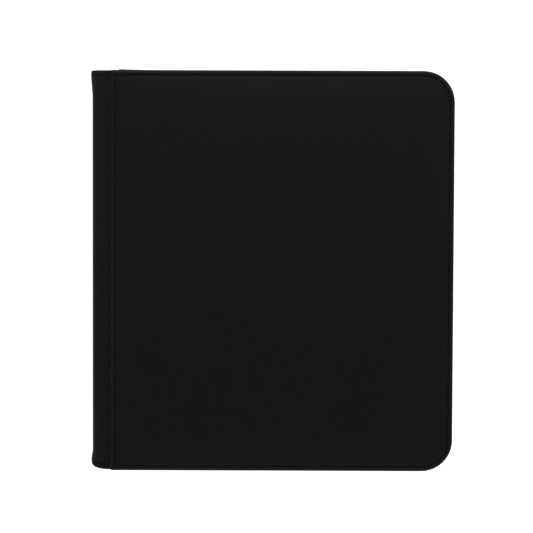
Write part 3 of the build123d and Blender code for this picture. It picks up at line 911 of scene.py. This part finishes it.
def zip_wall(side):
    gusset = along_wall(gusset_section(), WALL_START, 0.12 * MM)
    cover_piece(side, "gusset_leather", gusset, wall_leather, "gusset")
    tape = along_wall(tape_section(), WALL_START + 0.1 * MM)
    cover_piece(side, "tape", tape, tape_cloth, "zip_tape")
    cover_piece(side, "coil", coil(0.0 if side == "front" else math.pi), coil_nylon, "zip_teeth")

    points, normals = wall_path(WALL_INSET - 0.02 * MM, WALL_START + 3 * MM)
    path, out = np.insert(points, 2, gusset_low.z + 2.2 * MM, axis=1), np.insert(normals, 2, 0, axis=1)
    seam = stitches(path, out, seed=31, pitch=3.2 * MM, length=2.5 * MM, radius=0.26 * MM)
    row = side_object(side, "gusset_stitches", seam, thread_finish)
    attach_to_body(row, f"{side}_cover")


# ---- slider, pull and stops


PIVOT_X, PIVOT_Y = (pin_low.x + pin_high.x) / 2, (pin_low.y + pin_high.y) / 2
PLATE = 1.3 * MM
PLATE_BELOW_PIN = 1.8 * MM
HEEL_RADIUS, NOSE_RADIUS = 2.2 * MM, 1.5 * MM
NOSE_SHARE, SHOULDER_SHARE = 0.74, 0.52
WEB = 0.5 * MM
EAR = 1.2 * MM
EAR_RADIUS, EAR_FOOT = 1.35 * MM, 2.2 * MM
FLANGE, FLANGE_GAP = 0.8 * MM, 0.3 * MM


def slider_outline():
    """Plan of the slider: wide where it leads, narrow where the joined chain leaves it."""
    left, right = slider_low.x, slider_high.x
    half = (slider_high.z - slider_low.z) / 2
    wide, narrow = MIDDLE + half, MIDDLE + half * NOSE_SHARE
    heel, nose = left + HEEL_RADIUS, right - NOSE_RADIUS
    shoulder = left + SHOULDER_SHARE * (right - left)
    top = np.concatenate([
        arc_points((heel, wide - HEEL_RADIUS), HEEL_RADIUS, 180, 90, 5),
        line_points((heel, wide), (shoulder, wide), 2),
        line_points((shoulder, wide), (nose, narrow), 3),
        arc_points((nose, narrow - NOSE_RADIUS), NOSE_RADIUS, 90, 0, 4),
        [(right, narrow - NOSE_RADIUS)],
    ])
    lower = top[::-1].copy()
    lower[:, 1] = 2 * MIDDLE - lower[:, 1]
    return np.concatenate([top, lower])


def solid(name, parts, material, bevel, body, node, segments=2):
    """One object from closed parts, with its sharp rims bevelled."""
    obj = mesh_object(name, *joined(parts), material)
    settle(obj, "BEVEL", width=bevel, segments=segments, limit_method="ANGLE", angle_limit=0.6)
    sharpen(obj, 50)
    attach(obj, body, node)


def make_slider():
    channel_in = slider_low.y + PLATE
    plate_face = PIVOT_Y - PLATE_BELOW_PIN
    channel_out = plate_face - PLATE
    outline = slider_outline()
    parts = [prism(outline, slider_low.y, channel_in, 1), prism(outline, channel_out, plate_face, 1)]
    middle_x = (slider_low.x + slider_high.x) / 2
    reach = (slider_high.x - slider_low.x) / 6
    parts.append(block(
        (middle_x - reach, channel_in - 0.3 * MM, MIDDLE - WEB / 2),
        (middle_x + reach, channel_out + 0.3 * MM, MIDDLE + WEB / 2),
    ))
    arch = np.concatenate([
        arc_points((PIVOT_X, PIVOT_Y), EAR_RADIUS, 0, 180, 10),
        [(PIVOT_X - EAR_RADIUS, PIVOT_Y), (PIVOT_X - EAR_FOOT, plate_face - 0.2 * MM),
         (PIVOT_X + EAR_FOOT, plate_face - 0.2 * MM)],
    ])
    parts += [prism(arch, pin_low.z, pin_low.z + EAR, 2), prism(arch, pin_high.z - EAR, pin_high.z, 2)]
    # flanges along the lower edge, on both sides of the back half's tape
    tape_out = HALF_HEIGHT - TAPE_INSET
    inner = (channel_in - 0.2 * MM, tape_out - TAPE - FLANGE_GAP)
    outer = (tape_out + FLANGE_GAP, channel_out + 0.2 * MM)
    for near, far in (inner, outer):
        parts.append(block(
            (slider_low.x + 2.5 * MM, near, slider_low.z),
            (slider_high.x - 5.5 * MM, far, slider_low.z + FLANGE),
        ))
    solid("slider_body", parts, zip_metal, 0.22 * MM, "slider", "zip_slider")

    levels = (pin_low.z - 0.15 * MM, pin_low.z, pin_high.z, pin_high.z + 0.15 * MM)
    radii = np.array([0.35, 0.6, 0.6, 0.35]) * MM
    verts, faces = tube_along([(PIVOT_X, PIVOT_Y, z) for z in levels], radii, 14, up=(0, 1, 0))
    pin = mesh_object("pull_pin", verts, faces, zip_metal)
    sharpen(pin, 40)
    attach(pin, "slider", "zip_pull_pin")


KNUCKLE = 1.5 * MM
NECK = 2.6 * MM
TIP_RADIUS = 4.2 * MM
RIM = 1.0 * MM
SOFT_EDGE = 0.25 * MM
GRIP_START = 14 * MM
GRIP_MARGIN = 6 * MM
GRIP_PITCH = 2.35 * MM
GRIP_DEPTH = 0.5 * MM
EYE_POINTS = 20


def pull_section(x):
    """Section of the pull at x, round its raised rim and the ribbed floor between."""
    tip = pull_high.x
    share = (x - PIVOT_X) / (tip - PIVOT_X)
    outer = PIVOT_Y + KNUCKLE * (1 - share)
    inner = (PIVOT_Y - 0.9 * MM) * (1 - share) + (pull_low.y + 0.02 * MM) * share
    half = NECK + ((pull_high.z - pull_low.z) / 2 - NECK) * smoothstep(x - PIVOT_X, 3.3 * MM, 9.0 * MM)
    from_tip = tip - x
    if from_tip < TIP_RADIUS:
        half -= TIP_RADIUS - math.sqrt(max(TIP_RADIUS ** 2 - (TIP_RADIUS - from_tip) ** 2, 0.0))
    half = max(half, 0.4 * MM)
    rim = min(RIM, 0.28 * half)
    from_grip = x - PIVOT_X - GRIP_START
    sunk = GRIP_DEPTH * smoothstep(min(from_grip, from_tip - GRIP_MARGIN), 0, 0.5 * MM)
    wave = 0.5 + 0.5 * math.cos(from_grip / GRIP_PITCH * math.tau)
    floor = outer - sunk * (1 - 0.85 * wave ** 1.6)
    edge = [
        (inner, half - SOFT_EDGE), (inner + SOFT_EDGE, half), (outer - SOFT_EDGE, half),
        (outer, half - SOFT_EDGE), (outer, half - rim), (floor, half - 1.5 * rim),
    ]
    ring = [(y, -z) for y, z in edge] + [(floor, 0)] + edge[::-1]
    return [(x, y, MIDDLE + z) for y, z in ring]


def make_pull():
    """A moulded pull: knuckle, neck, and a tapering tab with a raised rim and grip ribs."""
    tip = pull_high.x
    stations = [PIVOT_X + d * MM for d in (1.2, 2.4, 3.3, 4.2, 5.2, 6.4, 7.8, 9.2, 11)]
    stations += list(np.arange(PIVOT_X + GRIP_START, tip - GRIP_MARGIN, GRIP_PITCH / 8))
    stations += [tip - GRIP_MARGIN] + [tip - d * MM for d in (3.6, 2.4, 1.4, 0.7, 0.25, 0.0)]
    rows = np.array([pull_section(x) for x in stations])
    tab = (rows.reshape(-1, 3), tube_faces(*rows.shape[:2]))

    loops = [
        np.insert(arc_points((PIVOT_X, PIVOT_Y), r * MM, 0, 360, EYE_POINTS), 2, MIDDLE + height * MM, axis=1)
        for r, height in ((0.72, 2.45), (1.3, 2.6), (1.5, 2.45), (1.5, -2.45), (1.3, -2.6), (0.72, -2.45))
    ]
    eye = (np.concatenate(loops), grid_faces(len(loops), EYE_POINTS, close_rows=True, close_columns=True))
    pull = mesh_object("pull_tab", *joined([tab, eye]), pull_rubber)
    sharpen(pull, 50)
    attach(pull, "pull", "zip_pull")


def make_stops():
    """Metal clips crimped round the ends of the chain."""
    for end, way in ENDS:
        centre = way * (HALF_HEIGHT - TAPE_INSET - 0.3 * MM)
        low = (stop_low.x - 0.2 * MM, centre - 1.15 * MM, stop_low.z - 0.6 * MM)
        high = (stop_high.x + 0.2 * MM, centre + 1.15 * MM, stop_high.z + 0.1 * MM)
        name = f"zip_stop_{end}"
        solid(f"{name}_clip", [block(low, high)], zip_metal, 0.35 * MM, "back_cover", name, 3)


# ---- leaves


tab_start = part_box("page_tabs")[0].x
COLUMNS, ROWS = 4, 3
POCKET = (68.0 * MM, 100.0 * MM)
POCKET_PITCH = (71.0 * MM, 105.0 * MM)
leaf_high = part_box("leaf_01")[1]
POCKETS_END = leaf_high.x - 4.0 * MM
POCKETS_START = POCKETS_END - (COLUMNS - 1) * POCKET_PITCH[0] - POCKET[0]
SHEET_HALF = 0.15 * MM
FILM = 0.12 * MM
POCKET_GAP = 0.18 * MM
LEAF_CORNER = 10.0 * MM


def leaf_sheet(name, level, crease):
    """The leaf's black sheet with its bound tab, in one flat piece with close rows about the crease."""
    end, reach = leaf_high.x, leaf_high.y
    near = [crease + d * MM for d in (-1.2, -0.9, -0.6, -0.3, 0.0, 0.3, 0.6, 0.9, 1.2, 2.5)]
    arcs = [end - LEAF_CORNER * (1 - math.sin(math.radians(a))) for a in (0, 18, 36, 54, 72, 84, 90)]
    xs = [tab_start] + [x for x in near if x > tab_start + 0.1 * MM] + [crease + 8 * MM, 0.0] + arcs
    rows = []
    for x in xs:
        past = max(x - (end - LEAF_CORNER), 0.0)
        half = reach - LEAF_CORNER + math.sqrt(max(LEAF_CORNER ** 2 - past ** 2, 0.0))
        half = max(half, reach - LEAF_CORNER + 0.2 * MM)
        ys = (-half, -half / 3, half / 3, half)
        upper = [(x, y, level + SHEET_HALF) for y in ys]
        rows.append(upper + [(x, y, level - SHEET_HALF) for y in reversed(ys)])
    rows = np.array(rows)
    faces = tube_faces(*rows.shape[:2])
    sheet = mesh_object(f"{name}_sheet", rows.reshape(-1, 3), faces, sheet_plastic, smooth=False)
    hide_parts(name, "page_tabs")
    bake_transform(sheet)


def pocket_patch(x0, y0, level, way):
    """One pocket's film, a closed thin shell: welded down on three sides, lifted at its mouth."""
    xs = np.array([0.0, 0.6, 3.0, 20.0, 48.0, 64.5, 66.0, 68.0]) * MM
    ys = np.array([0.0, 2.0, 3.6, 20.0, 50.0, 80.0, 96.4, 98.0, 100.0]) * MM
    lift_x = np.array([1, 1, 1, 1, 1, 1, 0, 0])
    lift_y = np.array([0, 0, 1, 1, 1, 1, 1, 0, 0])
    under = SHEET_HALF + POCKET_GAP * np.outer(lift_x, lift_y)
    grid_x, grid_y = np.meshgrid(x0 + xs, y0 + ys, indexing="ij")
    bottom = np.stack([grid_x, grid_y, level + way * under], -1).reshape(-1, 3)
    top = np.stack([grid_x, grid_y, level + way * (under + FILM)], -1).reshape(-1, 3)
    nx, ny = len(xs), len(ys)
    total = nx * ny
    place = np.arange(total).reshape(nx, ny)
    rim = np.concatenate([place[:-1, 0], place[-1, :-1], place[:0:-1, -1], place[0, :0:-1]])
    sides = [(a, b, total + b, total + a) for a, b in zip(rim, np.roll(rim, -1))]
    faces = grid_faces(nx, ny, start=total) + [f[::-1] for f in grid_faces(nx, ny)] + sides
    return np.concatenate([bottom, top]), [f[::way] for f in faces]


def leaf_pockets(name, level):
    parts = [
        pocket_patch(x0, y0, level, way)
        for way in (1, -1)
        for x0 in POCKETS_START + np.arange(COLUMNS) * POCKET_PITCH[0]
        for y0 in (np.arange(ROWS) - 1) * POCKET_PITCH[1] - POCKET[1] / 2
    ]
    pockets = mesh_object(f"{name}_pockets", *joined(parts), film)
    sharpen(pockets, 40)
    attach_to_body(pockets, name)


def make_leaves():
    for name in LEAVES:
        place = joints[f"{name}_hinge"]["pos_m"]
        leaf_sheet(name, place[2], place[0])
        leaf_pockets(name, place[2])


# ---- carried-over CAD nodes


def finish_nodes():
    """A textured plastic for the binding's CAD nodes, which keep their own shape."""
    for name in ("page_binding_strip", "binding_spacers"):
        for slot in frame["nodes"][name].material_slots:
            slot.material = binding_plastic


# ---- camera, floor and light

FRAME_SIZE = 533
MM_PER_STEP = 0.8850
CAMERA_DISTANCE = 2.5
CAMERA_TILT = math.radians(4.1)
CAMERA_ROLL = math.radians(0.21)
AIM = Vector((-5.8 * MM, 4.75 * MM, TOP))


def make_camera():
    data = bpy.data.cameras.new("camera")
    camera = add_object("camera", data)
    data.sensor_width = 36.0
    view_width = FRAME_SIZE * MM_PER_STEP * MM
    data.lens = 36.0 * CAMERA_DISTANCE / view_width
    turn = Matrix.Rotation(-CAMERA_TILT, 4, "X") @ Matrix.Rotation(CAMERA_ROLL, 4, "Z")
    camera.matrix_world = Matrix.Translation(AIM) @ turn @ Matrix.Translation((0, 0, CAMERA_DISTANCE))
    data.clip_start, data.clip_end = 0.1, 50.0
    scene.camera = camera


# Light boxes aimed at the binder: name, place, size and power
LIGHTS = (
    ("head_box", (0.1, 1.35, 1.4), (2.2, 1.1), 29),
    ("tail_box", (0.1, -1.7, 1.3), (2.4, 0.9), 16),
    ("spine_box", (-1.8, -0.3, 1.2), (2.2, 0.9), 12),
    ("fore_box", (1.9, 0.0, 1.0), (2.2, 0.9), 12),
)
FLOOR_HALF = 6.0


def make_lights():
    for name, place, size, power in LIGHTS:
        data = bpy.data.lights.new(name, "AREA")
        data.shape = "RECTANGLE"
        data.size, data.size_y = size
        data.energy = power
        lamp = add_object(name, data)
        lamp.location = place
        lamp.rotation_euler = (-Vector(place)).to_track_quat("-Z", "Y").to_euler()


def make_world():
    """A pale surround, darker overhead."""
    world = bpy.data.worlds.new("studio")
    scene.world = world
    world.use_nodes = True
    tree = world.node_tree
    background = tree.nodes["Background"]
    direction = tree.nodes.new("ShaderNodeTexCoord")
    split = tree.nodes.new("ShaderNodeSeparateXYZ")
    level = tree.nodes.new("ShaderNodeMapRange")
    level.interpolation_type = "SMOOTHSTEP"
    for name, value in (("From Min", 0.25), ("From Max", 0.85), ("To Min", 0.45), ("To Max", 0.04)):
        level.inputs[name].default_value = value
    tree.links.new(direction.outputs["Generated"], split.inputs[0])
    tree.links.new(split.outputs["Z"], level.inputs["Value"])
    tree.links.new(level.outputs[0], background.inputs["Strength"])
    background.inputs["Color"].default_value = (1.0, 1.0, 1.0, 1)


def make_stage():
    plan = FLOOR_HALF * np.array([(-1, -1, 0), (1, -1, 0), (1, 1, 0), (-1, 1, 0)])
    floor = mesh_object("floor", plan, [(0, 1, 2, 3)], floor_finish(), smooth=False, closed=False)
    make_lights()
    make_world()
    scene.view_settings.view_transform = "Standard"
    scene.view_settings.look = "None"


make_camera()
make_stage()
crown = simulate_crown()
for side in SIDES:
    cover_pieces(side, crown)
    hinge_skin(side)
    fold_lining(side)
    cover_stitching(side)
    zip_wall(side)
make_spine_board()
make_slider()
make_pull()
make_stops()
make_leaves()
finish_nodes()

bpy.context.view_layer.update()
